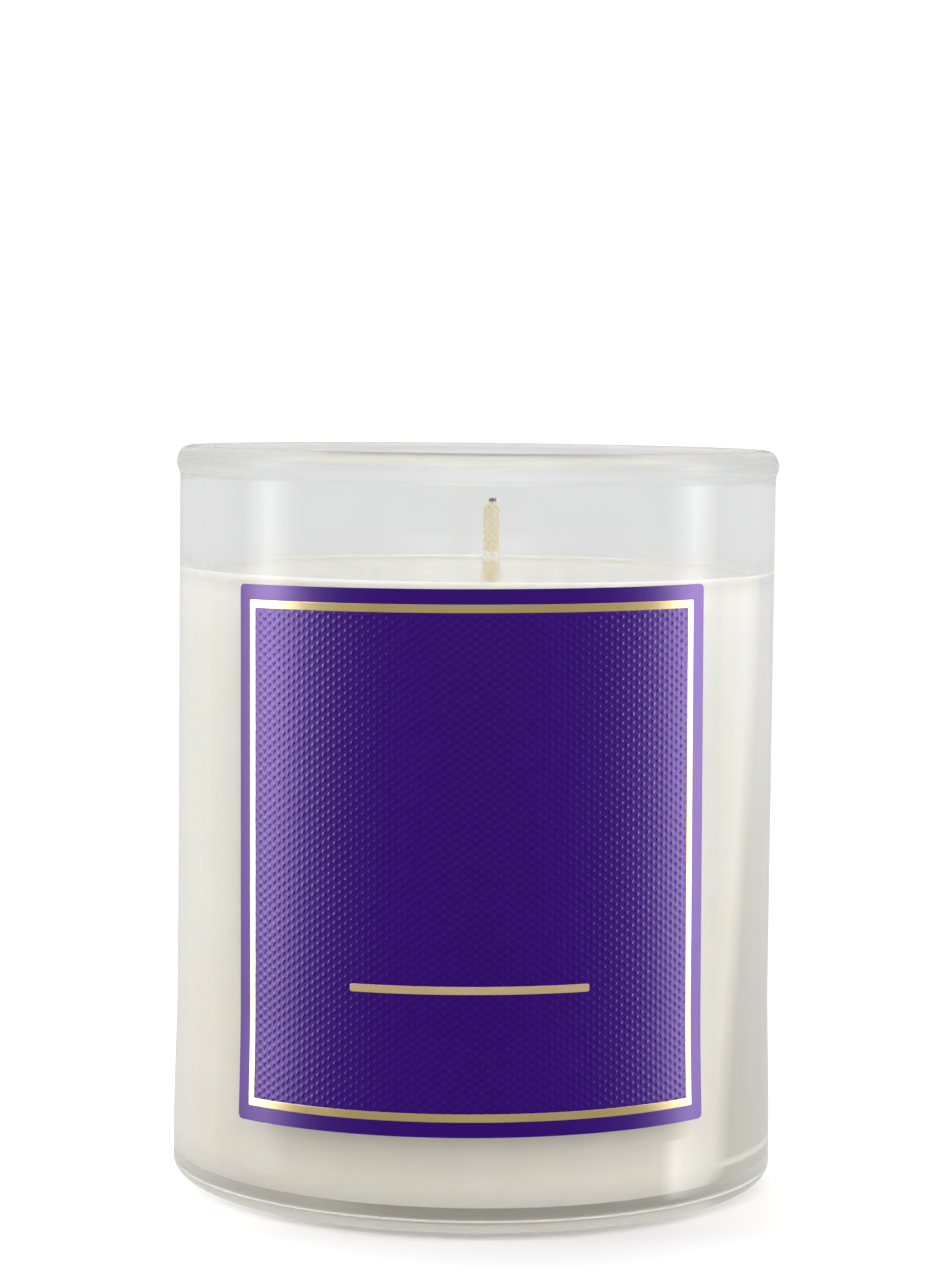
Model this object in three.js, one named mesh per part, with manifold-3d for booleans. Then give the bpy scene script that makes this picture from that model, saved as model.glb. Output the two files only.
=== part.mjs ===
// Jar candle: wax with one cotton wick, poured into a clear glass tumbler with a beaded
// rim, and a label with a gold foil frame on the front of the glass.
//
// Millimetres, +Z up. The origin is on the resting plane, below the middle of the jar.
// The label faces -Y.

import * as THREE from 'three';
import { mergeVertices } from 'three/addons/utils/BufferGeometryUtils.js';
import Module from 'manifold-3d';

const wasm = await Module();
wasm.setup();

// ---------------------------------------------------------------- driving dimensions

// Glass jar
const JAR_HEIGHT = 91;
const BODY_RADIUS = 36.8; // outside of the straight wall
const WALL = 2.65; // at the rim
const WALL_THICKENING = 1.4; // extra thickness of the wall at the floor
const THICKENING_TOP = 62; // height where the wall starts to thicken
const FOOT_FLARE = 0.4; // the wall swells by this much towards the foot
const FLARE_TOP = 26; // height where the swell starts
const FLARE_FULL = 6; // height where it is complete
const HEEL_REACH = 4.8; // rounded edge between the wall and the resting ring, measured inwards
const HEEL_RISE = 2.8; // and upwards
const RING_WIDTH = 3.2; // flat ring that the jar stands on
const PUSH_UP = 0.9; // depth of the hollow under the base
const FLOOR_HEIGHT = 3.8; // inside floor, level with the wick tab
const FLOOR_DROP = 1.2; // the floor falls by this much towards the wall
const FLOOR_FLAT_RADIUS = 13;
const INNER_CORNER = 4.2;

// Beaded, fire-polished rim
const BEAD_HALF_WIDTH = 1.59;
const BEAD_HALF_HEIGHT = 1.9;
const BEAD_PROUD = 0.4; // how far the bead stands out from the wall
const BEAD_FILLET = 0.5; // height of the small fillet under the bead
const FILLET_BEND = { out: 0.15, down: 0.2 }; // its middle, as shares of the bead's stand-out and the fillet

// Wax
const WAX_TOP = 75.8; // at the foot of the meniscus
const WAX_DISH = 1.6; // the top sank by this much in the middle as the wax set
const WAX_CLEARANCE = 0.05; // between the wax and what it touches
const MENISCUS_RISE = 0.35;
const MENISCUS_WIDTH = 1.4;
const MENISCUS_BEND = 0.3; // share of its width, and of its rise, where it steepens

// Wick: a flat-oval braid that leans from the middle of the floor to its place on top
const WICK_WIDTH = 2.1;
const WICK_DEPTH = 1.7;
const WICK_TIP = WAX_TOP + 9;
const WICK_LEAN = { x: 1.7, y: 1.4 }; // place of the wick where it leaves the wax
const WICK_SLANT = 0.35; // the cut tip is this much higher on the right
const WICK_HOLE_CLEARANCE = 0.15;

// Wick tab: a steel disc with a crimped collar, stuck to the floor with an adhesive pad
const PAD_RADIUS = 9;
const PAD_THICKNESS = 0.8;
const TAB_RADIUS = 9.5;
const TAB_THICKNESS = 0.3;
const COLLAR_RADIUS = 1.65;
const COLLAR_BORE = 1.2;
const COLLAR_HEIGHT = 5;
const COLLAR_FLARE = 0.6; // chamfer between the disc and the collar

// Label, measured along the curved surface of the glass
const LABEL_WIDTH = 61.2;
const LABEL_HEIGHT = 63.5;
const LABEL_BOTTOM = 12;
const LABEL_CORNER = 0.6;
const LABEL_TILT = THREE.MathUtils.degToRad(0.6); // it was applied slightly askew
const LABEL_THICKNESS = 0.1;
const LABEL_GAP = 0.02;

// Foil frame and foil rule, stamped on the label
const FRAME_MARGIN = 1.8;
const FRAME_STRIP = 0.95;
const FRAME_CORNER = 0.15;
const RULE_LENGTH = 28.4;
const RULE_STRIP = 0.93;
const RULE_CORNER = 0.25;
const RULE_HEIGHT = 29.1; // middle of the rule above the resting plane
const FOIL_THICKNESS = 0.03;
const FOIL_GAP = 0.01;

// How finely the curves are divided
const SEGMENTS = 72; // round the jar and the wax
const SMALL_SEGMENTS = 36; // round the wick tab and its pad
const WICK_SIDES = 16;
const BEAD_STEPS = 7; // over each half of the bead
const HEEL_STEPS = 7;
const CORNER_STEPS = 6; // round the inner corner of the floor
const SHEET_CORNER_STEPS = 4;
const HOLLOW_RINGS = [0, 0.45, 0.75, 0.92]; // of the hollow under the base, as shares of its radius
const DISH_RINGS = [1, 0.85, 0.68, 0.5, 0.3, 0]; // of the top of the wax, as shares of its radius
const COLUMN_PITCH = (2 * Math.PI * BODY_RADIUS) / SEGMENTS; // along a label sheet
const ROW_PITCH = 6.35; // up a label sheet
const END_MARGIN = 0.2; // a sheet's last whole column or row is this far from its edge

// ---------------------------------------------------------------- derived dimensions

const MOUTH_RADIUS = BODY_RADIUS - WALL;
const FLOOR_RADIUS = MOUTH_RADIUS - WALL_THICKENING;
const FOOT_RADIUS = BODY_RADIUS + FOOT_FLARE;
const RING_OUTER = FOOT_RADIUS - HEEL_REACH;
const RING_INNER = RING_OUTER - RING_WIDTH;
const FLOOR_EDGE_HEIGHT = FLOOR_HEIGHT - FLOOR_DROP;
const BEAD_RADIUS = BODY_RADIUS + BEAD_PROUD;
const BEAD_CENTRE = { r: BEAD_RADIUS - BEAD_HALF_WIDTH, z: JAR_HEIGHT - BEAD_HALF_HEIGHT };

const TAB_BOTTOM = FLOOR_HEIGHT + WAX_CLEARANCE + PAD_THICKNESS + WAX_CLEARANCE;
const TAB_TOP = TAB_BOTTOM + TAB_THICKNESS;
const COLLAR_TOP = TAB_BOTTOM + COLLAR_HEIGHT;
const WICK_BOTTOM = TAB_BOTTOM + WAX_CLEARANCE;

const LABEL_CENTRE_HEIGHT = LABEL_BOTTOM + LABEL_HEIGHT / 2;
const LABEL_INSIDE = LABEL_GAP;
const LABEL_OUTSIDE = LABEL_INSIDE + LABEL_THICKNESS;
const FOIL_INSIDE = LABEL_OUTSIDE + FOIL_GAP;
const FOIL_OUTSIDE = FOIL_INSIDE + FOIL_THICKNESS;

// ---------------------------------------------------------------- helpers

// Points on an arc of an ellipse in the (radius, height) plane. Angles in degrees.
function arc(centreR, centreZ, radiusR, radiusZ, fromDeg, toDeg, steps) {
  const points = [];
  for (let i = 0; i <= steps; i += 1) {
    const angle = THREE.MathUtils.degToRad(fromDeg + ((toDeg - fromDeg) * i) / steps);
    const r = centreR + radiusR * Math.cos(angle);
    const z = centreZ + radiusZ * Math.sin(angle);
    points.push([r, z]);
  }
  return points;
}

// Turns a profile of [radius, height] pairs round the Z axis. The profile runs
// anticlockwise from the axis, outwards along the bottom and back along the top.
function revolve(profile, segments = SEGMENTS) {
  const points = profile.map(([r, z]) => new THREE.Vector2(r, z));
  const geometry = new THREE.LatheGeometry(points, segments);
  geometry.rotateX(Math.PI / 2);
  return weld(geometry);
}

// Keeps only the corners of a geometry and merges those that coincide.
function weld(geometry) {
  geometry.deleteAttribute('normal');
  geometry.deleteAttribute('uv');
  return mergeVertices(geometry, 1e-4);
}

function toManifold(geometry) {
  const vertProperties = new Float32Array(geometry.attributes.position.array);
  const triVerts = new Uint32Array(geometry.index.array);
  return new wasm.Manifold(new wasm.Mesh({ numProp: 3, vertProperties, triVerts }));
}

function fromManifold(solid) {
  const mesh = solid.getMesh();
  const geometry = new THREE.BufferGeometry();
  geometry.setAttribute('position', new THREE.BufferAttribute(mesh.vertProperties, 3));
  geometry.setIndex(new THREE.BufferAttribute(mesh.triVerts, 1));
  return geometry;
}

function subtract(geometry, cutter) {
  return fromManifold(toManifold(geometry).subtract(toManifold(cutter)));
}

// A closed geometry from a list of corners and a list of triangles.
function closedGeometry(corners, triangles) {
  const geometry = new THREE.BufferGeometry();
  geometry.setAttribute('position', new THREE.Float32BufferAttribute(corners.flat(), 3));
  geometry.setIndex(triangles.flat());
  return geometry;
}

function namedMesh(name, geometry, look) {
  const flatShaded = geometry.index ? geometry.toNonIndexed() : geometry;
  flatShaded.computeVertexNormals();
  const mesh = new THREE.Mesh(flatShaded, new THREE.MeshStandardMaterial(look));
  mesh.name = name;
  return mesh;
}

// ---------------------------------------------------------------- glass jar

// Outside radius of the glass wall at a height above the heel.
function wallRadius(z) {
  const swell = THREE.MathUtils.clamp((FLARE_TOP - z) / (FLARE_TOP - FLARE_FULL), 0, 1);
  return BODY_RADIUS + FOOT_FLARE * swell;
}

// The inside of the jar from the flat of the floor up to where the wall stops
// thickening, moved off the glass by a clearance.
function insideProfile(clearance) {
  const corner = INNER_CORNER - clearance;
  const centreR = FLOOR_RADIUS - INNER_CORNER;
  const centreZ = FLOOR_EDGE_HEIGHT + INNER_CORNER;
  return [
    [FLOOR_FLAT_RADIUS, FLOOR_HEIGHT + clearance],
    ...arc(centreR, centreZ, corner, corner, -90, 0, CORNER_STEPS),
    [MOUTH_RADIUS - clearance, THICKENING_TOP],
  ];
}

// The rim from the wall, round the bead and over the lip, to the inside wall.
function rimProfile() {
  const { r, z } = BEAD_CENTRE;
  const toDegrees = THREE.MathUtils.radToDeg;
  const outer = -toDegrees(Math.acos((BODY_RADIUS - r) / BEAD_HALF_WIDTH));
  const inner = 180 + toDegrees(Math.acos((r - MOUTH_RADIUS) / BEAD_HALF_WIDTH));
  const outside = arc(r, z, BEAD_HALF_WIDTH, BEAD_HALF_HEIGHT, outer, 90, BEAD_STEPS);
  const inside = arc(r, z, BEAD_HALF_WIDTH, BEAD_HALF_HEIGHT, 90, inner, BEAD_STEPS);
  const creaseHeight = outside[0][1];
  return [
    [BODY_RADIUS, creaseHeight - BEAD_FILLET],
    [BODY_RADIUS + BEAD_PROUD * FILLET_BEND.out, creaseHeight - BEAD_FILLET * FILLET_BEND.down],
    ...outside.slice(1),
    ...inside.slice(1),
  ];
}

function jarGeometry() {
  const hollow = HOLLOW_RINGS.map((t) => [t * RING_INNER, PUSH_UP * (1 - t * t)]);
  return revolve([
    ...hollow,
    [RING_INNER, 0],
    ...arc(RING_OUTER, HEEL_RISE, HEEL_REACH, HEEL_RISE, -90, 0, HEEL_STEPS),
    [FOOT_RADIUS, FLARE_FULL],
    [BODY_RADIUS, FLARE_TOP],
    ...rimProfile(),
    ...insideProfile(0).reverse(),
    [0, FLOOR_HEIGHT],
  ]);
}

// ---------------------------------------------------------------- wick and its tab

// Middle of the wick at a height: straight from the tab to its place on the wax.
function wickCentre(z) {
  const rise = Math.max(z - COLLAR_TOP, 0) / (WAX_TOP - COLLAR_TOP);
  const lean = Math.min(rise, 1);
  return { x: WICK_LEAN.x * lean, y: WICK_LEAN.y * lean };
}

// An upright oval rod along the wick's line. slant lifts the right side of the top.
function rodGeometry(heights, halfWidth, halfDepth, slant) {
  const corners = [];
  heights.forEach((z, level) => {
    const centre = wickCentre(z);
    const isTop = level === heights.length - 1;
    for (let i = 0; i < WICK_SIDES; i += 1) {
      const angle = (2 * Math.PI * i) / WICK_SIDES;
      const lift = isTop ? slant * Math.cos(angle) : 0;
      const x = centre.x + halfWidth * Math.cos(angle);
      const y = centre.y + halfDepth * Math.sin(angle);
      corners.push([x, y, z + lift]);
    }
  });
  const triangles = [];
  const last = (heights.length - 1) * WICK_SIDES;
  for (let level = 0; level < heights.length - 1; level += 1) {
    for (let i = 0; i < WICK_SIDES; i += 1) {
      const a = level * WICK_SIDES + i;
      const b = level * WICK_SIDES + ((i + 1) % WICK_SIDES);
      triangles.push([a, b, b + WICK_SIDES], [a, b + WICK_SIDES, a + WICK_SIDES]);
    }
  }
  for (let i = 1; i < WICK_SIDES - 1; i += 1) {
    triangles.push([0, i + 1, i], [last, last + i, last + i + 1]);
  }
  return closedGeometry(corners, triangles);
}

function wickGeometry() {
  const heights = [WICK_BOTTOM, COLLAR_TOP, WAX_TOP, WICK_TIP - WICK_SLANT];
  return rodGeometry(heights, WICK_WIDTH / 2, WICK_DEPTH / 2, WICK_SLANT);
}

function tabGeometry() {
  return revolve([
    [COLLAR_BORE, TAB_BOTTOM],
    [TAB_RADIUS, TAB_BOTTOM],
    [TAB_RADIUS, TAB_TOP],
    [COLLAR_RADIUS + COLLAR_FLARE, TAB_TOP],
    [COLLAR_RADIUS, TAB_TOP + COLLAR_FLARE],
    [COLLAR_RADIUS, COLLAR_TOP],
    [COLLAR_BORE, COLLAR_TOP],
    [COLLAR_BORE, TAB_BOTTOM],
  ], SMALL_SEGMENTS);
}

function padGeometry() {
  const bottom = FLOOR_HEIGHT + WAX_CLEARANCE;
  const top = bottom + PAD_THICKNESS;
  const profile = [[0, bottom], [PAD_RADIUS, bottom], [PAD_RADIUS, top], [0, top]];
  return revolve(profile, SMALL_SEGMENTS);
}

// ---------------------------------------------------------------- wax

function waxGeometry() {
  const gap = WAX_CLEARANCE;
  const radius = MOUTH_RADIUS - gap;
  const top = DISH_RINGS.map((t) => [t * (radius - MENISCUS_WIDTH), WAX_TOP - WAX_DISH * (1 - t * t)]);
  const recess = [
    [0, COLLAR_TOP + gap],
    [COLLAR_RADIUS + gap, COLLAR_TOP + gap],
    [COLLAR_RADIUS + gap, TAB_TOP + COLLAR_FLARE + gap],
    [COLLAR_RADIUS + COLLAR_FLARE + gap, TAB_TOP + gap],
    [TAB_RADIUS + gap, TAB_TOP + gap],
    [TAB_RADIUS + gap, FLOOR_HEIGHT + gap],
  ];
  const body = revolve([
    ...recess,
    ...insideProfile(gap),
    [radius, WAX_TOP + MENISCUS_RISE],
    [radius - MENISCUS_WIDTH * MENISCUS_BEND, WAX_TOP + MENISCUS_RISE * MENISCUS_BEND],
    ...top,
  ]);
  const halfWidth = WICK_WIDTH / 2 + WICK_HOLE_CLEARANCE;
  const halfDepth = WICK_DEPTH / 2 + WICK_HOLE_CLEARANCE;
  const hole = rodGeometry([COLLAR_TOP - 1, COLLAR_TOP, WAX_TOP, WAX_TOP + 1], halfWidth, halfDepth, 0);
  return subtract(body, hole);
}

// ---------------------------------------------------------------- label and foil

// A place on the label: s along its width and t up its height, both from its middle,
// and the height above the bare glass.
function onGlass(s, t, height) {
  const along = s * Math.cos(LABEL_TILT) - t * Math.sin(LABEL_TILT);
  const z = LABEL_CENTRE_HEIGHT + s * Math.sin(LABEL_TILT) + t * Math.cos(LABEL_TILT);
  const angle = along / BODY_RADIUS;
  const r = wallRadius(z) + height;
  return [r * Math.sin(angle), -r * Math.cos(angle), z];
}

// Whole multiples of a pitch that lie inside a span, with a margin at both ends.
function gridLines(from, to, pitch) {
  const lines = [];
  for (let i = Math.ceil((from + END_MARGIN) / pitch); i * pitch <= to - END_MARGIN; i += 1) {
    lines.push(i * pitch);
  }
  return lines;
}

// The columns of a sheet with rounded corners: s and the half height there.
function sheetColumns(halfWidth, halfHeight, corner) {
  const straight = halfWidth - corner;
  const right = arc(straight, halfHeight - corner, corner, corner, 90, 0, SHEET_CORNER_STEPS);
  const left = right.map(([s, half]) => [-s, half]).reverse();
  const middle = gridLines(-straight, straight, COLUMN_PITCH).map((s) => [s, halfHeight]);
  return [...left, ...middle, ...right];
}

// A thin closed sheet that follows the glass, with its middle at the height t on the
// label. All sheets share one grid of columns and rows, so that their facets nest.
function sheetGeometry(width, height, corner, t, inside, outside) {
  const columns = sheetColumns(width / 2, height / 2, corner);
  const innerRows = gridLines(t - height / 2 + corner, t + height / 2 - corner, ROW_PITCH);
  const rows = innerRows.length + 1;
  const corners = [];
  for (const level of [outside, inside]) {
    for (const [s, half] of columns) {
      for (const rowT of [t - half, ...innerRows, t + half]) {
        corners.push(onGlass(s, rowT, level));
      }
    }
  }

  const at = (column, row, side) => (side * columns.length + column) * (rows + 1) + row;
  const triangles = [];
  const quad = (a, b, c, d) => triangles.push([a, b, c], [a, c, d]);
  const last = columns.length - 1;
  for (let c = 0; c < last; c += 1) {
    const next = c + 1;
    for (let row = 0; row < rows; row += 1) {
      const up = row + 1;
      quad(at(c, row, 0), at(next, row, 0), at(next, up, 0), at(c, up, 0));
      quad(at(c, row, 1), at(c, up, 1), at(next, up, 1), at(next, row, 1));
    }
    quad(at(c, 0, 0), at(c, 0, 1), at(next, 0, 1), at(next, 0, 0));
    quad(at(c, rows, 0), at(next, rows, 0), at(next, rows, 1), at(c, rows, 1));
  }
  for (let row = 0; row < rows; row += 1) {
    const up = row + 1;
    quad(at(0, row, 0), at(0, up, 0), at(0, up, 1), at(0, row, 1));
    quad(at(last, row, 0), at(last, row, 1), at(last, up, 1), at(last, up, 0));
  }
  return closedGeometry(corners, triangles);
}

function labelGeometry() {
  return sheetGeometry(LABEL_WIDTH, LABEL_HEIGHT, LABEL_CORNER, 0, LABEL_INSIDE, LABEL_OUTSIDE);
}

function foilFrameGeometry() {
  const width = LABEL_WIDTH - 2 * FRAME_MARGIN;
  const height = LABEL_HEIGHT - 2 * FRAME_MARGIN;
  const outer = sheetGeometry(width, height, FRAME_CORNER, 0, FOIL_INSIDE, FOIL_OUTSIDE);
  const window = sheetGeometry(
    width - 2 * FRAME_STRIP,
    height - 2 * FRAME_STRIP,
    FRAME_CORNER,
    0,
    FOIL_INSIDE - 1,
    FOIL_OUTSIDE + 1,
  );
  return subtract(outer, window);
}

function foilRuleGeometry() {
  const t = RULE_HEIGHT - LABEL_CENTRE_HEIGHT;
  return sheetGeometry(RULE_LENGTH, RULE_STRIP, RULE_CORNER, t, FOIL_INSIDE, FOIL_OUTSIDE);
}

// ---------------------------------------------------------------- the candle

const glass = { color: '#eef1f0', roughness: 0.03, metalness: 0, transparent: true, opacity: 0.3 };
const wax = { color: '#ebe8e0', roughness: 0.45, metalness: 0 };
const cotton = { color: '#e6d6b0', roughness: 0.9, metalness: 0 };
const tinplate = { color: '#b9bbbd', roughness: 0.35, metalness: 1 };
const adhesive = { color: '#d9d6cc', roughness: 0.7, metalness: 0 };
const purple = { color: '#3a1277', roughness: 0.35, metalness: 0 };
const gold = { color: '#c9a95c', roughness: 0.25, metalness: 1 };

const candle = new THREE.Group();
candle.add(namedMesh('glass_jar', jarGeometry(), glass));
candle.add(namedMesh('wax_fill', waxGeometry(), wax));
candle.add(namedMesh('wick', wickGeometry(), cotton));
candle.add(namedMesh('wick_tab', tabGeometry(), tinplate));
candle.add(namedMesh('tab_adhesive', padGeometry(), adhesive));
candle.add(namedMesh('label', labelGeometry(), purple));
candle.add(namedMesh('label_foil_frame', foilFrameGeometry(), gold));
candle.add(namedMesh('label_foil_rule', foilRuleGeometry(), gold));

export default candle;
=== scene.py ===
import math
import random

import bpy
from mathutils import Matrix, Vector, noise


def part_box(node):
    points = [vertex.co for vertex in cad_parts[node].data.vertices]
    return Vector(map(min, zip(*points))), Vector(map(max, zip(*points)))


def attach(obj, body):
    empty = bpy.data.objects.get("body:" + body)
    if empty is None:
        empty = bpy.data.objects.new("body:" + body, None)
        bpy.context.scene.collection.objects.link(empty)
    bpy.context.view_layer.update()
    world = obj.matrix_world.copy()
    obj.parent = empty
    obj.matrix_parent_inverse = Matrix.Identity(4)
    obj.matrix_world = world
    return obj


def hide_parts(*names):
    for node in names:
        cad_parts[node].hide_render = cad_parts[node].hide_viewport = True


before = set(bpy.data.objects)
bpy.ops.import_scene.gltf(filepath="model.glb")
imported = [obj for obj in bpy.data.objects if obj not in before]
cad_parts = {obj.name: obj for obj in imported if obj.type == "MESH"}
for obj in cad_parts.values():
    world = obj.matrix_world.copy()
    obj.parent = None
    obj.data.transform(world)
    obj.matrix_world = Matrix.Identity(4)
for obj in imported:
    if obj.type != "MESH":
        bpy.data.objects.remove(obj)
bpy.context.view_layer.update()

# Jar candle: wax with one braided wick in a clear glass tumbler with a beaded rim, and a
# purple label with an embossed dot field and a gold foil frame on the front of the glass.
#
# Metres, +Z up, in the frame of the CAD model. The label faces -Y.

MM = 0.001

# -------------------------------- sizes

_, JAR_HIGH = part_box("glass_jar")
_, WAX_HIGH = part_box("wax_fill")
WICK_LOW, WICK_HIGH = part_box("wick")
TAB_LOW, TAB_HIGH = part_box("wick_tab")
_, PAD_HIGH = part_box("tab_adhesive")
LABEL_LOW, LABEL_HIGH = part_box("label")

# Glass jar
JAR_HEIGHT = JAR_HIGH.z
FOOT_RADIUS = JAR_HIGH.x
FOOT_FLARE = 0.4 * MM
FLARE_TOP = 26 * MM
FLARE_FULL = 6 * MM
BODY_RADIUS = FOOT_RADIUS - FOOT_FLARE
WALL = 2.65 * MM
WALL_THICKENING = 1.4 * MM
THICKENING_TOP = 62 * MM
HEEL_REACH = 4.8 * MM
HEEL_RISE = 2.8 * MM
RING_WIDTH = 3.2 * MM
PUSH_UP = 0.9 * MM
FLOOR_HEIGHT = 3.8 * MM
FLOOR_DROP = 1.2 * MM
FLOOR_FLAT_RADIUS = 13 * MM
INNER_CORNER = 4.2 * MM
BEAD_HALF_WIDTH = 1.59 * MM
BEAD_HALF_HEIGHT = 1.9 * MM
BEAD_PROUD = 0.4 * MM
BEAD_FILLET = 0.5 * MM
MOUTH_RADIUS = BODY_RADIUS - WALL
FLOOR_RADIUS = MOUTH_RADIUS - WALL_THICKENING
RING_OUTER = FOOT_RADIUS - HEEL_REACH
RING_INNER = RING_OUTER - RING_WIDTH
FLOOR_EDGE_HEIGHT = FLOOR_HEIGHT - FLOOR_DROP
BEAD_CENTRE = (BODY_RADIUS + BEAD_PROUD - BEAD_HALF_WIDTH, JAR_HEIGHT - BEAD_HALF_HEIGHT)
CORNER_CENTRE = (FLOOR_RADIUS - INNER_CORNER, FLOOR_EDGE_HEIGHT + INNER_CORNER)
JAR_SEGMENTS = 192

# Wax
MENISCUS_RISE = 0.35 * MM
MENISCUS_WIDTH = 1.4 * MM
WAX_TOP = WAX_HIGH.z - MENISCUS_RISE  # at the foot of the meniscus
WAX_DISH = 1.6 * MM  # the top sank by this much in the middle as the wax set
WAX_BITE = 0.02 * MM  # the wax wets the glass, so its surface lies a hair inside the wall
WICK_MOUND = 0.25 * MM
WICK_MOUND_REACH = 1.2 * MM
RIPPLE = 0.06 * MM

# Wick
WICK_WIDTH = 2.1 * MM
WICK_DEPTH = 1.7 * MM
WICK_X = WICK_HIGH.x - WICK_WIDTH / 2
WICK_Y = WICK_HIGH.y - WICK_DEPTH / 2

# Wick tab
COLLAR_TOP = TAB_HIGH.z
COLLAR_RADIUS = 1.65 * MM
COLLAR_BORE = 1.2 * MM
COLLAR_FLARE = 0.6 * MM  # fillet between the disc and the collar
DISC_TOP = TAB_LOW.z + 0.3 * MM
TAB_CLEARANCE = 0.05 * MM  # between the tab and the wax

# Label, measured along the curved surface of the glass
LABEL_WIDTH = 61.2 * MM
LABEL_HEIGHT = 63.5 * MM
LABEL_CORNER = 0.6 * MM
LABEL_TILT = math.radians(0.6)
LABEL_INSIDE = 0.02 * MM
LABEL_OUTSIDE = 0.09 * MM
LABEL_CENTRE_HEIGHT = (LABEL_LOW.z + LABEL_HIGH.z) / 2
FRAME_MARGIN = 1.8 * MM
FRAME_STRIP = 0.95 * MM
FIELD_HALF_WIDTH = LABEL_WIDTH / 2 - FRAME_MARGIN - FRAME_STRIP
FIELD_HALF_HEIGHT = LABEL_HEIGHT / 2 - FRAME_MARGIN - FRAME_STRIP
FRAME_CORNER = 0.15 * MM
RULE_LENGTH = 28.4 * MM
RULE_STRIP = 0.93 * MM
RULE_CORNER = 0.25 * MM
RULE_MIDDLE = 29.1 * MM - LABEL_CENTRE_HEIGHT
FOIL_OUTSIDE = 0.12 * MM
FOIL_BEVEL = 0.02 * MM
FOIL_BITE = 0.01 * MM  # how far the foil is pressed into the label
DOT_COLUMN = 0.73 * MM  # between columns of dots
DOT_ROW = 1.03 * MM  # between the dots of a column
DOT_RADIUS = 0.33 * MM
DOT_HEIGHT = 0.07 * MM
DOT_FADE = 0.35 * MM  # the dots die away this close to the foil

# Camera
CAMERA_DISTANCE = 465.6 * MM
CAMERA_HEIGHT = 99.5 * MM
CAMERA_SIDESTEP = -0.1 * MM
CAMERA_AZIMUTH = math.radians(0.85)
CAMERA_PITCH = math.radians(3.98)
CAMERA_ROLL = math.radians(0.61)
CAMERA_LENS = 105.55  # mm
CAMERA_SENSOR = 36  # mm


# -------------------------------- mesh helpers

def mix(a, b, t):
    return a + (b - a) * t


def smoothstep(low, high, value):
    t = min(max((value - low) / (high - low), 0.0), 1.0)
    return t * t * (3 - 2 * t)


def mesh_object(name, points, faces, materials, slots=None):
    """A smooth-shaded object from corners and faces. slots gives each face's material."""
    mesh = bpy.data.meshes.new(name)
    mesh.from_pydata(points, [], faces)
    mesh.polygons.foreach_set("use_smooth", [True] * len(faces))
    for material in materials:
        mesh.materials.append(material)
    if slots:
        mesh.polygons.foreach_set("material_index", slots)
    mesh.update()
    obj = bpy.data.objects.new(name, mesh)
    bpy.context.scene.collection.objects.link(obj)
    return obj


def loft(loops, closed=False, slot_of=None):
    """Corners, faces and material slots of a skin over loops of equal length. The ends are
    capped, unless the last loop joins the first."""
    count = len(loops[0])
    points = [p for loop in loops for p in loop]
    faces = []
    slots = []
    for row in range(len(loops) if closed else len(loops) - 1):
        below = row * count
        above = (row + 1) % len(loops) * count
        for i in range(count):
            j = (i + 1) % count
            faces.append((below + i, below + j, above + j, above + i))
            slots.append(slot_of(row) if slot_of else 0)
    if not closed:
        last = (len(loops) - 1) * count
        faces.append(tuple(reversed(range(count))))
        faces.append(tuple(range(last, last + count)))
        slots += [0, 0]
    return points, faces, slots


def ring(radius, z, segments=JAR_SEGMENTS):
    steps = [2 * math.pi * i / segments for i in range(segments)]
    return [(radius * math.cos(a), radius * math.sin(a), z) for a in steps]


def arc(centre, radii, start, end, steps):
    """Points (radius, height) on an arc of an ellipse. Angles in degrees."""
    angles = [math.radians(mix(start, end, i / steps)) for i in range(steps + 1)]
    return [(centre[0] + radii[0] * math.cos(a), centre[1] + radii[1] * math.sin(a)) for a in angles]


def line(start, end, steps):
    """Points between two ends, with one more close to each end to keep the shading true."""
    ts = [0.02] + [i / steps for i in range(1, steps)] + [0.98]
    return [(mix(start[0], end[0], t), mix(start[1], end[1], t)) for t in ts]


def turned(name, profile, material, segments=JAR_SEGMENTS, closed=False):
    """A solid turned round the Z axis from a profile of (radius, height) points."""
    points, faces, _ = loft([ring(r, z, segments) for r, z in profile], closed)
    return mesh_object(name, points, faces, [material])


# -------------------------------- material helpers

def set_stops(ramp, stops):
    """Gives a ramp its stops: a position with a colour or a grey."""
    elements = ramp.color_ramp.elements
    while len(elements) > len(stops):
        elements.remove(elements[-1])
    while len(elements) < len(stops):
        elements.new(0.5)
    for element, (position, colour) in zip(elements, stops):
        element.position = position
        element.color = (*colour, 1) if isinstance(colour, tuple) else (colour,) * 3 + (1,)


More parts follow.
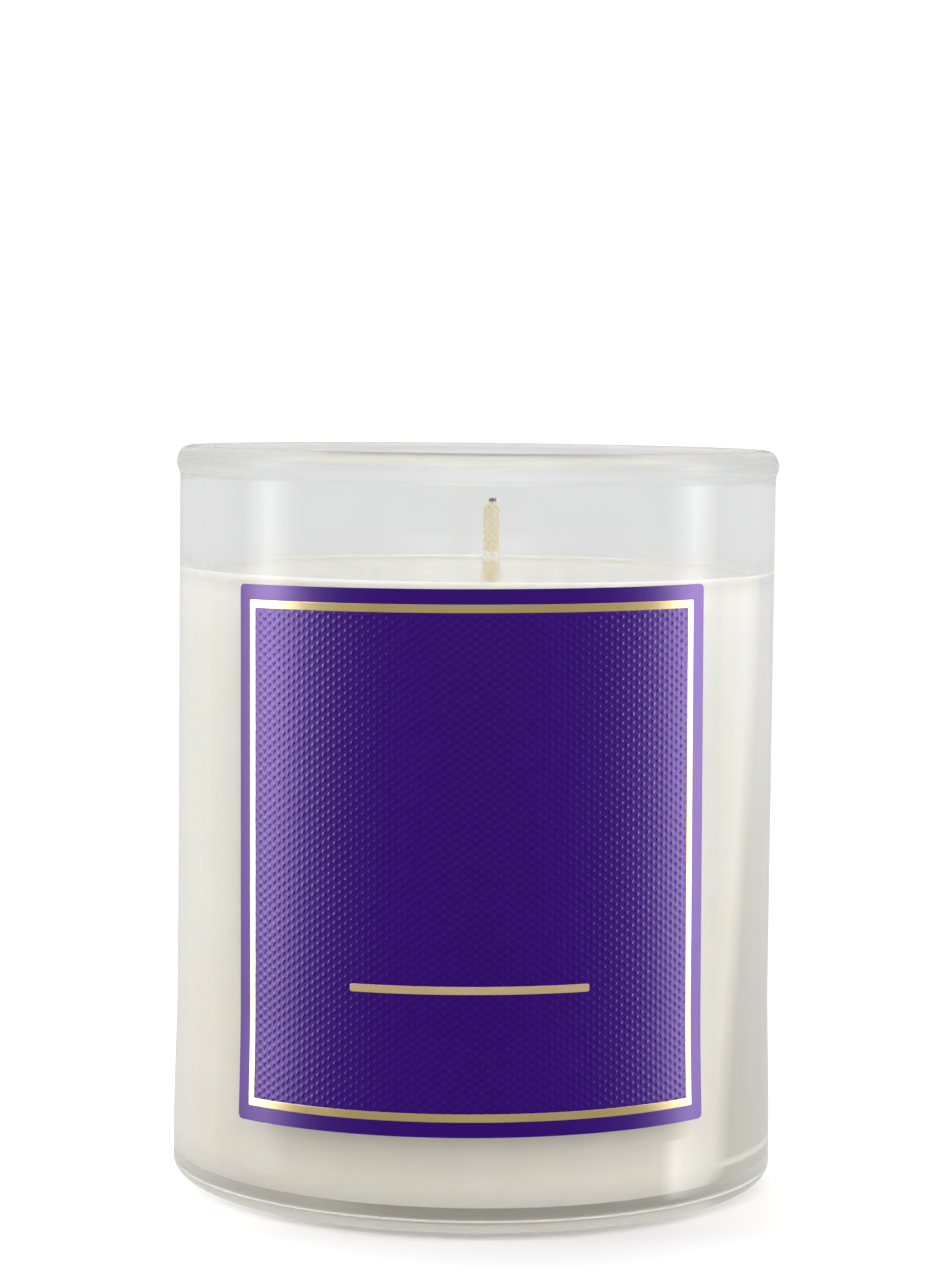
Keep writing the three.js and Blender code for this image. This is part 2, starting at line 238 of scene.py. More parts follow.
class Finish:
    """A node material with one Principled shader and a few short ways to add nodes."""

    def __init__(self, name, **constants):
        self.material = bpy.data.materials.new(name)
        self.material.use_nodes = True
        self.tree = self.material.node_tree
        self.shader = self.tree.nodes["Principled BSDF"]
        for socket, value in constants.items():
            self.shader.inputs[socket.replace("_", " ")].default_value = value
        self.place = self.node("ShaderNodeTexCoord").outputs["Object"]

    def node(self, kind, **settings):
        made = self.tree.nodes.new(kind)
        for name, value in settings.items():
            if name in made.inputs:
                made.inputs[name].default_value = value
            else:
                setattr(made, name, value)
        return made

    def link(self, source, target):
        self.tree.links.new(source, target)

    def noise(self, scale, detail, stretch=(1, 1, 1)):
        """Noise over the surface. scale is in features per metre."""
        mapping = self.node("ShaderNodeMapping")
        mapping.inputs["Scale"].default_value = stretch
        self.link(self.place, mapping.inputs["Vector"])
        made = self.node("ShaderNodeTexNoise", Scale=scale, Detail=detail)
        self.link(mapping.outputs["Vector"], made.inputs["Vector"])
        return made.outputs["Fac"]

    def ramp(self, source, stops):
        """Colours or greys along a source that runs from 0 to 1."""
        made = self.node("ShaderNodeValToRGB")
        set_stops(made, stops)
        self.link(source, made.inputs["Fac"])
        return made.outputs["Color"]

    def span(self, source, low, high, start=0.0, end=1.0):
        """A source that runs from low to high, brought to run from start to end."""
        made = self.node("ShaderNodeMapRange")
        for socket, value in zip(("From Min", "From Max", "To Min", "To Max"), (low, high, start, end)):
            made.inputs[socket].default_value = value
        self.link(source, made.inputs["Value"])
        return made.outputs["Result"]

    def blend(self, factor, a, b, mode="MIX"):
        """Colour b over colour a by a factor. Each is a socket or a plain value."""
        made = self.node("ShaderNodeMix", data_type="RGBA", blend_type=mode)
        for socket, source in zip((made.inputs[0], made.inputs[6], made.inputs[7]), (factor, a, b)):
            if isinstance(source, tuple):
                socket.default_value = (*source, 1)
            elif isinstance(source, float):
                socket.default_value = source
            else:
                self.link(source, socket)
        return made.outputs[2]

    def along(self, axis):
        """Place along one of the axes, from the middle of the resting plane."""
        made = self.node("ShaderNodeSeparateXYZ")
        self.link(self.place, made.inputs["Vector"])
        return made.outputs[axis]

    def from_axis(self):
        """Distance from the middle line of the jar."""
        level = self.node("ShaderNodeVectorMath", operation="MULTIPLY")
        level.inputs[1].default_value = (1, 1, 0)
        self.link(self.place, level.inputs[0])
        made = self.node("ShaderNodeVectorMath", operation="LENGTH")
        self.link(level.outputs["Vector"], made.inputs[0])
        return made.outputs["Value"]

    def math(self, operation, a, b):
        """A sum or the like of two sockets or numbers."""
        made = self.node("ShaderNodeMath", operation=operation)
        for socket, source in zip(made.inputs, (a, b)):
            if isinstance(source, (int, float)):
                socket.default_value = source
            else:
                self.link(source, socket)
        return made.outputs["Value"]

    def azimuth(self):
        """Angle round the jar from the front towards +X, in radians."""
        return self.math("ARCTAN2", self.along("X"), self.math("MULTIPLY", self.along("Y"), -1.0))

    def bump(self, source, distance, strength, under=None):
        made = self.node("ShaderNodeBump", Strength=strength, Distance=distance)
        self.link(source, made.inputs["Height"])
        if under:
            self.link(under, made.inputs["Normal"])
        return made.outputs["Normal"]

    def set(self, socket, source):
        self.link(source, self.shader.inputs[socket])


RIM_ZONE = (JAR_HEIGHT - 4.5 * MM, JAR_HEIGHT)
RIM_SOFTNESS = [(0.0, 0.0), (0.33, 0.22), (0.75, 0.28), (0.94, 0.5), (1.0, 0.85)]  # up that zone
FOOT_ZONE = (HEEL_RISE + 1.2 * MM, HEEL_RISE)
FOOT_SOFTNESS = 0.2
FILM_SOFTNESS = 0.25
FILM_START = (WAX_TOP - 1 * MM, WAX_TOP)
FILM_FADE = (WAX_TOP + 4 * MM, WAX_TOP + 0.5 * MM)


def clear_glass():
    """Pressed soda-lime glass: clear, faintly grey, with a slow waviness. Its fire-polished
    rim, its foot and the film of wax above the fill line are a little soft."""
    f = Finish("clear_glass", Transmission_Weight=1.0, IOR=1.5)
    tint = f.ramp(f.noise(90, detail=1), [(0.3, (0.972, 0.977, 0.974)), (0.7, (0.984, 0.988, 0.986))])
    f.set("Base Color", tint)
    smears = f.span(f.noise(160, detail=3), 0.55, 0.8, 0.0, 0.03)
    z = f.along("Z")
    rim = f.ramp(f.span(z, *RIM_ZONE), RIM_SOFTNESS)
    foot = f.span(z, *FOOT_ZONE, 0.0, FOOT_SOFTNESS)
    film = f.math("MULTIPLY", f.span(z, *FILM_FADE), f.span(z, *FILM_START))
    patches = f.span(f.noise(260, detail=2, stretch=(1, 1, 0.2)), 0.3, 0.7)
    film = f.math("MULTIPLY", f.math("MULTIPLY", film, patches), FILM_SOFTNESS)
    f.set("Roughness", f.math("MAXIMUM", f.math("MAXIMUM", smears, film), f.math("MAXIMUM", rim, foot)))
    f.set("Normal", f.bump(f.noise(55, detail=1, stretch=(1, 1, 0.35)), 0.25 * MM, 0.04))
    return f.material


# Painted shade stands in for a band on the right where the wax has come away from the glass,
# with a thin painted bright line near its foot. The band starts further from the front the higher it is.
GAP_SHADE_FROM = (math.radians(57), math.radians(68))  # at the two heights below
GAP_SHADE_HEIGHTS = (10 * MM, 74 * MM)
GAP_SHADE_EDGE = math.radians(6)  # it sets in over this much
GAP_SHADE_TO = (math.radians(100), math.radians(118))  # it dies away between these
GAP_SHADE_TONES = [  # height as a part of the wax's, and tone
    (0.062, (0.690, 0.705, 0.670)),
    # the next two stops: a thin painted bright line
    (0.066, (0.960, 0.960, 0.950)),
    (0.071, (0.960, 0.960, 0.950)),
    (0.078, (0.690, 0.702, 0.685)),
    (0.320, (0.712, 0.720, 0.742)),
    (0.650, (0.765, 0.785, 0.805)),
    (0.950, (0.840, 0.850, 0.885)),
]

# Painted shade on the rest of the wax, by height: darker towards the bottom, where less light reaches,
# and darker in a thin band at the top of its side, against the light that comes in through the open mouth.
HEIGHT_SHADE_TONES = [
    (0.00, (0.868, 0.865, 0.842)),
    (0.30, (0.960, 0.954, 0.936)),
    (0.75, (1.000, 1.000, 1.000)),
    (0.92, (0.975, 0.990, 1.010)),
    (0.97, (0.945, 0.965, 1.005)),
    (0.985, (0.865, 0.885, 0.930)),
    (1.00, (0.680, 0.700, 0.745)),
]


def wax_finish(name, **constants):
    """A finish that lets light scatter under its surface, as wax does."""
    f = Finish(name, Subsurface_Weight=1.0, Subsurface_Scale=2.2 * MM, **constants)
    f.shader.inputs["Subsurface Radius"].default_value = (1.0, 0.85, 0.6)
    return f


def wax_in_glass():
    """Wax that wets the glass: no gloss of its own and mottled, with painted shade low down,
    at the top of its side and under its middle, and painted shade where it has come away from the glass."""
    f = wax_finish("wax_in_glass", Roughness=0.6, Specular_IOR_Level=0.0)
    mottle = f.ramp(f.noise(70, detail=4), [(0.3, (0.955, 0.922, 0.845)), (0.7, (0.975, 0.946, 0.890))])
    streaks = f.ramp(f.noise(420, detail=2, stretch=(1, 1, 0.04)), [(0.35, 0.975), (0.65, 1.0)])
    up = f.span(f.along("Z"), 0.0, WAX_TOP)
    # painted shade by height
    height_shade = f.ramp(up, HEIGHT_SHADE_TONES)
    # painted shade under the middle of the wax, where little light reaches from below
    inward = f.span(f.from_axis(), 12 * MM, 26 * MM)
    middle = f.ramp(inward, [(0.0, (0.86, 0.85, 0.81)), (1.0, (1.0, 1.0, 1.0))])
    start = f.span(f.along("Z"), *GAP_SHADE_HEIGHTS, *GAP_SHADE_FROM)
    place = f.azimuth()
    begun = f.span(f.math("SUBTRACT", place, start), 0.0, GAP_SHADE_EDGE)
    here = f.math("MULTIPLY", begun, f.span(place, *GAP_SHADE_TO, 1.0, 0.0))
    # painted shade of the band where the wax has come away from the glass
    gap_shade = f.blend(here, (1.0, 1.0, 1.0), f.ramp(up, GAP_SHADE_TONES))
    tone = mottle
    for layer in (streaks, height_shade, middle, gap_shade):
        tone = f.blend(1.0, tone, layer, "MULTIPLY")
    f.set("Base Color", tone)
    return f.material


def wax_surface():
    """The open top of the wax: smooth and faintly wavy, with a soft gloss. Its tone is darkened by painted
    shade, most by the glass and in the cracks.
    """
    f = wax_finish("wax_surface", Specular_IOR_Level=0.45)
    # tones set well below the wax's own: painted shade against the light that falls in through the open
    # mouth
    clouds_and_shade = f.ramp(f.noise(160, detail=4), [(0.3, (0.660, 0.652, 0.582)), (0.7, (0.700, 0.692, 0.627))])
    # painted shade, darker towards the glass
    outer = f.ramp(f.span(f.from_axis(), 30 * MM, MOUTH_RADIUS), [(0.0, 1.0), (1.0, 0.78)])
    cracks = f.node("ShaderNodeAttribute", attribute_name="crack").outputs["Fac"]
    # the cracks are painted dark brown: painted shade in them
    f.set("Base Color", f.blend(cracks, f.blend(1.0, clouds_and_shade, outer, "MULTIPLY"), (0.42, 0.31, 0.13)))
    f.set("Roughness", f.span(f.noise(500, detail=3), 0.3, 0.7, 0.1, 0.2))
    waves = f.bump(f.noise(120, detail=2), 0.2 * MM, 0.3)
    f.set("Normal", f.bump(f.noise(1500, detail=3), 0.02 * MM, 0.4, waves))
    return f.material


# Heights between which the wick changes its tone.
BAND_START = (WAX_TOP + 1.0 * MM, WAX_TOP + 1.5 * MM)
BAND_END = (WAX_TOP + 2.7 * MM, WAX_TOP + 2.1 * MM)
SOAKED_BELOW = (WAX_TOP + 0.8 * MM, WAX_TOP - 1.2 * MM)
FRESH_ABOVE = (WICK_HIGH.z - 1.4 * MM, WICK_HIGH.z - 0.7 * MM)
DARK_TIP_ABOVE = (WICK_HIGH.z - 0.55 * MM, WICK_HIGH.z - 0.35 * MM)
DARK_TIP_MIDDLE = WICK_X + 0.12 * MM
DARK_TIP_SIDES = (0.5 * MM, 0.4 * MM)  # distances from that middle


def braided_cotton():
    """Cream cotton yarn, whiter in a band of wax, soaked at its foot and dark at the tip."""
    f = Finish("braided_cotton", Specular_IOR_Level=0.35)
    fibres = f.ramp(
        f.noise(5200, detail=4, stretch=(1, 1, 0.25)),
        [(0.2, (0.71, 0.64, 0.475)), (0.5, (0.74, 0.665, 0.50)), (0.8, (0.76, 0.695, 0.535))],
    )
    z = f.along("Z")
    band = f.math("MULTIPLY", f.span(z, *BAND_START), f.span(z, *BAND_END))
    waxed = f.blend(band, fibres, (0.80, 0.77, 0.70))
    soaked = f.blend(f.span(z, *SOAKED_BELOW), waxed, (0.73, 0.60, 0.38))
    fresh = f.blend(f.span(z, *FRESH_ABOVE), soaked, (0.80, 0.74, 0.66))
    # a dark mark across the middle of the cut tip
    aside = f.math("ABSOLUTE", f.math("SUBTRACT", f.along("X"), DARK_TIP_MIDDLE), 0.0)
    dark_tip = f.math("MULTIPLY", f.span(z, *DARK_TIP_ABOVE, 0.0, 0.9), f.span(aside, *DARK_TIP_SIDES))
    f.set("Base Color", f.blend(dark_tip, fresh, (0.10, 0.085, 0.07)))
    f.set("Roughness", f.span(band, 0, 1, 0.8, 0.3))
    f.set("Normal", f.bump(f.noise(9000, detail=2, stretch=(1, 1, 0.2)), 0.01 * MM, 0.3))
    return f.material


def printed_label():
    """Deep purple ink on a satin film that throws back a lilac sheen."""
    f = Finish("printed_label", IOR=1.75, Specular_IOR_Level=1.0)
    f.shader.inputs["Specular Tint"].default_value = (0.66, 0.46, 0.88, 1)
    ink = f.ramp(f.noise(900, detail=5), [(0.3, (0.047, 0.0010, 0.262)), (0.7, (0.053, 0.0014, 0.290))])
    f.set("Base Color", ink)
    f.set("Roughness", f.span(f.noise(2600, detail=4), 0.3, 0.7, 0.33, 0.38))
    f.set("Normal", f.bump(f.noise(2400, detail=2), 0.01 * MM, 0.2))
    return f.material


def label_paper():
    """The white, adhesive-coated back of the label."""
    f = Finish("label_paper", Roughness=0.8, Specular_IOR_Level=0.2)
    fibres = f.ramp(f.noise(700, detail=4), [(0.3, (0.86, 0.86, 0.83)), (0.7, (0.91, 0.91, 0.89))])
    f.set("Base Color", fibres)
    f.set("Normal", f.bump(f.noise(3000, detail=2), 0.01 * MM, 0.3))
    return f.material


FRAME_GOLD = ((0.94, 0.68, 0.23), (1.0, 0.77, 0.31))
# The rule's foil is the frame's foil with paler tones and no metal of its own: painted reflection of the
# bright floor in front, which makes it look lighter.
RULE_GOLD_LIT = ((0.98, 0.69, 0.33), (1.0, 0.75, 0.39))


def gold_foil(name, metallic, tones):
    """Hot-stamped gold foil: satin, with soft patches where it took the paper's surface."""
    f = Finish(name, Metallic=metallic, IOR=2.0, Specular_IOR_Level=1.0)
    f.set("Base Color", f.ramp(f.noise(140, detail=3), [(0.3, tones[0]), (0.7, tones[1])]))
    f.set("Roughness", f.span(f.noise(260, detail=3), 0.3, 0.7, 0.28, 0.36))
    f.set("Normal", f.bump(f.noise(350, detail=1), 0.1 * MM, 0.2))
    return f.material


def tinplate():
    """Tin-plated steel with rolling marks."""
    f = Finish("tinplate", Metallic=1.0)
    tone = f.ramp(
        f.noise(900, detail=3, stretch=(0.06, 1, 1)),
        [(0.3, (0.58, 0.59, 0.6)), (0.7, (0.74, 0.74, 0.73))],
    )
    f.set("Base Color", tone)
    f.set("Roughness", f.span(f.noise(1800, detail=3, stretch=(0.05, 1, 1)), 0.3, 0.7, 0.25, 0.45))
    f.set("Normal", f.bump(f.noise(5000, detail=2, stretch=(0.05, 1, 1)), 0.01 * MM, 0.5))
    return f.material


def foam_adhesive():
    """White foam tape with open cells."""
    f = Finish("foam_adhesive", Roughness=0.8)
    cells = f.noise(2400, detail=3)
    f.set("Base Color", f.ramp(cells, [(0.35, (0.50, 0.48, 0.42)), (0.65, (0.66, 0.64, 0.57))]))
    f.set("Normal", f.bump(cells, 0.08 * MM, 0.6))
    return f.material


# -------------------------------- glass jar

def wall_radius(z):
    """Outside of the glass wall above the heel."""
    return BODY_RADIUS + FOOT_FLARE * smoothstep(FLARE_TOP, FLARE_FULL, z)


def inside_radius(z):
    """Inside of the glass wall above the rounded corner of the floor."""
    drop = (THICKENING_TOP - z) / (THICKENING_TOP - CORNER_CENTRE[1])
    return MOUTH_RADIUS - WALL_THICKENING * min(max(drop, 0.0), 1.0)


def rim_profile():
    """From the outside wall, round the bead and over the lip, to the inside wall."""
    r, z = BEAD_CENTRE
    radii = (BEAD_HALF_WIDTH, BEAD_HALF_HEIGHT)
    outer = -math.degrees(math.acos((BODY_RADIUS - r) / BEAD_HALF_WIDTH))
    inner = 180 + math.degrees(math.acos((r - MOUTH_RADIUS) / BEAD_HALF_WIDTH))
    outside = arc(BEAD_CENTRE, radii, outer, 90, 18)
    inside = arc(BEAD_CENTRE, radii, 90, inner, 18)
    crease = outside[0][1]
    fillet = [(BODY_RADIUS, crease - BEAD_FILLET), (BODY_RADIUS + BEAD_PROUD / 7, crease - BEAD_FILLET / 5)]
    return fillet + outside[1:] + inside[1:]


def jar_profile():
    """From the middle of the underside, up the outside and down the inside to the floor."""
    shares = (0.03, 0.2, 0.4, 0.6, 0.75, 0.88, 0.96, 0.99)
    hollow = [(RING_INNER * t, PUSH_UP * (1 - t * t)) for t in shares]
    foot = [(RING_INNER, 0.0), *line((RING_INNER, 0.0), (RING_OUTER, 0.0), 3)]
    heel = arc((RING_OUTER, HEEL_RISE), (HEEL_REACH, HEEL_RISE), -90, 0, 18)
    rim = rim_profile()
    wall_steps = 36
    low, high = HEEL_RISE + 0.3 * MM, rim[0][1] - 0.1 * MM
    heights = [mix(low, high, i / wall_steps) for i in range(wall_steps + 1)]
    outside = [(wall_radius(z), z) for z in heights]
    inner_top = rim[-1][1]
    inner_steps = 30
    low, high = inner_top - 0.1 * MM, CORNER_CENTRE[1]
    heights = [mix(low, high, i / inner_steps) for i in range(inner_steps)]
    inside = [(inside_radius(z), z) for z in heights]
    corner = arc(CORNER_CENTRE, (INNER_CORNER, INNER_CORNER), 0, -90, 14)
    flat = (FLOOR_FLAT_RADIUS, FLOOR_HEIGHT)
    middle = [(FLOOR_FLAT_RADIUS * 0.9, FLOOR_HEIGHT), (0.5 * MM, FLOOR_HEIGHT)]
    floor = [*line(corner[-1], flat, 4), flat, *middle]
    return hollow + foot + heel + outside + rim + inside + corner + floor


def make_jar(material):
    return turned("jar_glass", jar_profile(), material)


# -------------------------------- wax

# Fine cracks in the wax beside the wick: start and end in polar form round the wick,
# (distance, azimuth in degrees from +X), and half width.
CRACKS = [
    ((1.3 * MM, 176), (5.2 * MM, 186), 0.11 * MM),
    ((1.6 * MM, 196), (4.4 * MM, 178), 0.09 * MM),
    ((2.6 * MM, 186), (3.9 * MM, 200), 0.08 * MM),
    ((1.2 * MM, 215), (2.4 * MM, 232), 0.07 * MM),
]
CRACK_DEPTH = 0.12 * MM


def wick_centre(z):
    """Middle of the wick: straight from its tab to its place on the wax, then upright."""
    lean = min(max((z - COLLAR_TOP) / (WAX_TOP - COLLAR_TOP), 0.0), 1.0)
    return WICK_X * lean, WICK_Y * lean


def beside_wick(distance, azimuth):
    """A place on the wax in polar form round the wick, with the azimuth in degrees."""
    angle = math.radians(azimuth)
    return Vector((WICK_X + distance * math.cos(angle), WICK_Y + distance * math.sin(angle)))


def crack_depth(x, y):
    """How deep in a crack a place on the wax is, from 0 to 1."""
    deepest = 0.0
    for first, last, half_width in CRACKS:
        start = beside_wick(*first)
        along = beside_wick(*last) - start
        here = Vector((x, y))
        t = min(max((here - start).dot(along) / along.length_squared, 0.0), 1.0)
        wander = 0.15 * MM * noise.noise((t * 5, first[0] / MM, 0.0))
        side = along.orthogonal().normalized()
        distance = (here - start - along * t - side * wander).length
        deepest = max(deepest, 1 - smoothstep(0.3 * half_width, half_width * (1.4 - t), distance))
    return deepest


def wax_level(x, y):
    """Height of the wax's sunken top, without its mound, ripples and cracks."""
    t = math.hypot(x, y) / (MOUTH_RADIUS - MENISCUS_WIDTH)
    return WAX_TOP - WAX_DISH * (1 - t * t)


def top_ring(t):
    """A ring of the wax's top, from the wick (t = 0) to the meniscus at the glass (t = 1)."""
    loop = []
    for i in range(JAR_SEGMENTS):
        angle = 2 * math.pi * i / JAR_SEGMENTS
        direction = Vector((math.cos(angle), math.sin(angle)))
        near = Vector((WICK_X + WICK_WIDTH / 2 * direction.x, WICK_Y + WICK_DEPTH / 2 * direction.y))
        far = direction * (MOUTH_RADIUS - MENISCUS_WIDTH)
        x, y = near.lerp(far, t)
        from_wick = math.hypot(x - WICK_X, y - WICK_Y) - WICK_WIDTH / 2
        mound = WICK_MOUND * math.exp(-max(from_wick, 0.0) / WICK_MOUND_REACH)
        ripple = RIPPLE * noise.noise((x * 90, y * 90, 3.0)) * smoothstep(0.0, 0.2, 1 - t)
        z = wax_level(x, y) + mound + ripple - CRACK_DEPTH * crack_depth(x, y)
        loop.append((x, y, z))
    return loop


def make_wax(side, surface):
    """One closed skin: over the top, down the glass, under the floor and back up the wick."""
    top_steps = 110
    top = [top_ring((i / top_steps) ** 1.8) for i in range(top_steps + 1)]
    meniscus = []
    for step in (0.35, 0.6, 0.8, 0.92, 1.0):
        radius = MOUTH_RADIUS - MENISCUS_WIDTH * (1 - step)
        meniscus.append(ring(radius, WAX_TOP + MENISCUS_RISE * step ** 3))
    meniscus[-1] = ring(MOUTH_RADIUS + WAX_BITE, WAX_HIGH.z)
    side_steps = 60
    heights = [mix(WAX_HIGH.z, CORNER_CENTRE[1], i / side_steps) for i in range(1, side_steps)]
    wall = [ring(inside_radius(z) + WAX_BITE, z) for z in heights]
    corner = arc(CORNER_CENTRE, (INNER_CORNER, INNER_CORNER), 0, -90, 12)
    rounded = [ring(r + WAX_BITE, z - WAX_BITE) for r, z in corner]
    tab_radius = TAB_HIGH.x + TAB_CLEARANCE
    tab_top = DISC_TOP + TAB_CLEARANCE
    collar_radius = COLLAR_RADIUS + TAB_CLEARANCE
    collar_top = COLLAR_TOP + TAB_CLEARANCE
    recess = [
        (FLOOR_FLAT_RADIUS, FLOOR_HEIGHT - WAX_BITE),
        (PAD_HIGH.x, FLOOR_HEIGHT - WAX_BITE),
        (PAD_HIGH.x, PAD_HIGH.z),
        (tab_radius, PAD_HIGH.z),
        (tab_radius, tab_top),
        (collar_radius + COLLAR_FLARE, tab_top),
        (collar_radius, tab_top + COLLAR_FLARE),
        (collar_radius, collar_top),
    ]
    under = [ring(r, z) for r, z in recess]
    channel = []
    for z in (collar_top, mix(COLLAR_TOP, WAX_TOP, 0.5), WAX_TOP - WAX_DISH - 0.5 * MM):
        x, y = wick_centre(z)
        oval = ring(1.0, z)
        channel.append([(x + WICK_WIDTH / 2 * u, y + WICK_DEPTH / 2 * v, w) for u, v, w in oval])
    loops = top + meniscus + wall + rounded + under + channel
    open_rows = len(top) + len(meniscus) - 1
    points, faces, slots = loft(loops, closed=True, slot_of=lambda row: 1 if row < open_rows else 0)
    faces = [tuple(reversed(face)) for face in faces]
    obj = mesh_object("wax_candle", points, faces, [side, surface], slots)
    crack = obj.data.attributes.new("crack", "FLOAT", "POINT")
    depths = [crack_depth(x, y) if z > WAX_TOP - WAX_DISH - 0.5 * MM else 0.0 for x, y, z in points]
    crack.data.foreach_set("value", depths)
    return obj


# -------------------------------- wick, tab and pad

YARNS = 6  # in each direction of the braid
YARN_RADIUS = 0.25 * MM
BRAID_PITCH = 5.6 * MM
BRAID_FROM = WAX_TOP - 3 * MM
YARN_STEP = 0.09 * MM  # along a yarn
YARN_SIDES = 10
WEAVE = 0.05  # how far a yarn swings out and in, as a share of the wick's width
WICK_SLANT = 0.7 * MM  # the cut tip falls by this much to the left
FRAY = (0.02 * MM, 0.2 * MM)  # the yarns end this far short of the cut
CORE_SHORT = 1.2 * MM  # the core ends this far below the tip
CORE_SHARES = (0.98, 0.84)  # width of the core below and inside the braid, as a share of the wick's


def tube(path, radii, sides):
    """Corners and faces of a closed tube along a path."""
    loops = []
    for i, here in enumerate(path):
        ahead = path[min(i + 1, len(path) - 1)] - path[max(i - 1, 0)]
        across = ahead.cross(Vector((0.3, 1.0, 0.1))).normalized()
        up = across.cross(ahead).normalized()
        angles = [2 * math.pi * k / sides for k in range(sides)]
        loops.append([tuple(here + (across * math.cos(a) + up * math.sin(a)) * radii[i]) for a in angles])
    points, faces, _ = loft(loops)
    return points, faces


def yarn_path(turn, start, top):
    """A yarn of the braid. turn is +1 or -1; the two families pass over and under."""
    path = []
    steps = int((top - BRAID_FROM) / YARN_STEP)
    for i in range(steps + 1):
        z = mix(BRAID_FROM, top, i / steps)
        angle = start + turn * 2 * math.pi * (z - BRAID_FROM) / BRAID_PITCH
        weave = math.sin(YARNS * (angle - start)) * turn
        out = 1 + WEAVE * weave
        x, y = wick_centre(z)
        reach_x = (WICK_WIDTH / 2 - YARN_RADIUS * 1.15) * out
        reach_y = (WICK_DEPTH / 2 - YARN_RADIUS * 1.15) * out
        path.append(Vector((x + reach_x * math.cos(angle), y + reach_y * math.sin(angle), z)))
    return path


def make_wick(material):
    random.seed(4)
    points = []
    faces = []

    def add(new_points, new_faces):
        base = len(points)
        points.extend(new_points)
        faces.extend(tuple(base + i for i in face) for face in new_faces)

    core_top = WICK_HIGH.z - CORE_SHORT
    core_loops = []
    for z in (WICK_LOW.z, COLLAR_TOP, mix(COLLAR_TOP, WAX_TOP, 0.5), BRAID_FROM, WAX_TOP, core_top):
        x, y = wick_centre(z)
        full = CORE_SHARES[0] if z <= BRAID_FROM else CORE_SHARES[1]
        half_width, half_depth = WICK_WIDTH / 2 * full, WICK_DEPTH / 2 * full
        core_loops.append([(x + half_width * u, y + half_depth * v, w) for u, v, w in ring(1.0, z, 24)])
    core_points, core_faces, _ = loft(core_loops)
    add(core_points, core_faces)

    for turn in (1, -1):
        for i in range(YARNS):
            start = 2 * math.pi * (i + (0.25 if turn < 0 else 0)) / YARNS
            end_angle = start + turn * 2 * math.pi * (WICK_HIGH.z - BRAID_FROM) / BRAID_PITCH
            slant = WICK_SLANT * max(-math.cos(end_angle), 0.0)
            top = WICK_HIGH.z - slant - random.uniform(*FRAY)
            path = yarn_path(turn, start, top)
            radii = [YARN_RADIUS] * len(path)
            radii[-1] *= 0.45
            radii[-2] *= 0.8
            radii[-3] *= 0.95
            add(*tube(path, radii, YARN_SIDES))
    return mesh_object("wick_braid", points, faces, [material])


def make_tab(material):
    """Stamped disc with two shallow rings and a crimped collar."""
    bottom, top, edge = TAB_LOW.z, DISC_TOP, TAB_HIGH.x
    ridge = 0.12 * MM
    soft = 0.1 * MM  # edge of the collar's mouth
    profile = [
        (COLLAR_BORE, bottom),
        (edge * 0.45, bottom),
        (edge * 0.5, bottom + ridge),
        (edge * 0.55, bottom),
        (edge * 0.97, bottom),
        (edge, bottom + 0.06 * MM),
        (edge, top - 0.06 * MM),
        (edge * 0.99, top),
        (edge * 0.55, top),
        (edge * 0.5, top - ridge * 0.5),
        (edge * 0.45, top),
        *arc((COLLAR_RADIUS + COLLAR_FLARE, top + COLLAR_FLARE), (COLLAR_FLARE, COLLAR_FLARE), -90, -180, 6),
        (COLLAR_RADIUS, COLLAR_TOP - soft),
        (COLLAR_RADIUS - soft, COLLAR_TOP),
        (COLLAR_BORE + soft / 2, COLLAR_TOP),
        (COLLAR_BORE, COLLAR_TOP - soft),
    ]
    return turned("tab_disc", profile, material, 96, closed=True)


def make_pad(material):
    """Die-cut foam pad with a softly rounded top edge, pressed flat on the floor."""
    r = PAD_HIGH.x
    soft = 0.2 * MM
    bottom = FLOOR_HEIGHT - WAX_BITE
    profile = [
        (0.3 * MM, bottom),
        (r - 0.02 * MM, bottom),
        (r, bottom + 0.02 * MM),
        *arc((r - soft, PAD_HIGH.z - soft), (soft, soft), 0, 60, 4),
        (r - soft, PAD_HIGH.z),
        (0.3 * MM, PAD_HIGH.z),
    ]
    return turned("tab_foam_pad", profile, material, 96)


# -------------------------------- label and foil

def on_glass(s, t, height):
    """A place on the label: s along its width and t up its height, both from its middle,
    and the height above the bare glass."""
    along = s * math.cos(LABEL_TILT) - t * math.sin(LABEL_TILT)
    z = LABEL_CENTRE_HEIGHT + s * math.sin(LABEL_TILT) + t * math.cos(LABEL_TILT)
    angle = along / BODY_RADIUS
    r = wall_radius(z) + height
    return (r * math.sin(angle), -r * math.cos(angle), z)


def dot_height(s, t):
    """Height of the embossed dots: a staggered field of small domes that stops at the foil."""
    from_frame = min(FIELD_HALF_WIDTH - abs(s), FIELD_HALF_HEIGHT - abs(t))
    from_rule = max(abs(s) - RULE_LENGTH / 2, abs(t - RULE_MIDDLE) - RULE_STRIP / 2)
    fade = smoothstep(0.0, DOT_FADE, min(from_frame, from_rule))
    if fade == 0:
        return 0.0
    nearest = round(s / DOT_COLUMN)
    for column in (nearest - 1, nearest, nearest + 1):
        stagger = (column % 2) / 2
        row = round(t / DOT_ROW - stagger) + stagger
        distance = math.hypot(s - column * DOT_COLUMN, t - row * DOT_ROW)
        if distance < DOT_RADIUS:
            return fade * DOT_HEIGHT * math.cos(math.pi * distance / (2 * DOT_RADIUS)) ** 2
    return 0.0


def label_face(s, t):
    return Vector(on_glass(s, t, LABEL_OUTSIDE + dot_height(s, t)))


def label_normal(s, t):
    """Outward normal of the label's face, with the slope of the dots."""
    step = 0.02 * MM
    along = label_face(s + step, t) - label_face(s - step, t)
    up = label_face(s, t + step) - label_face(s, t - step)
    return along.cross(up).normalized()


BACK_ROWS = 16  # down the plain back of the label


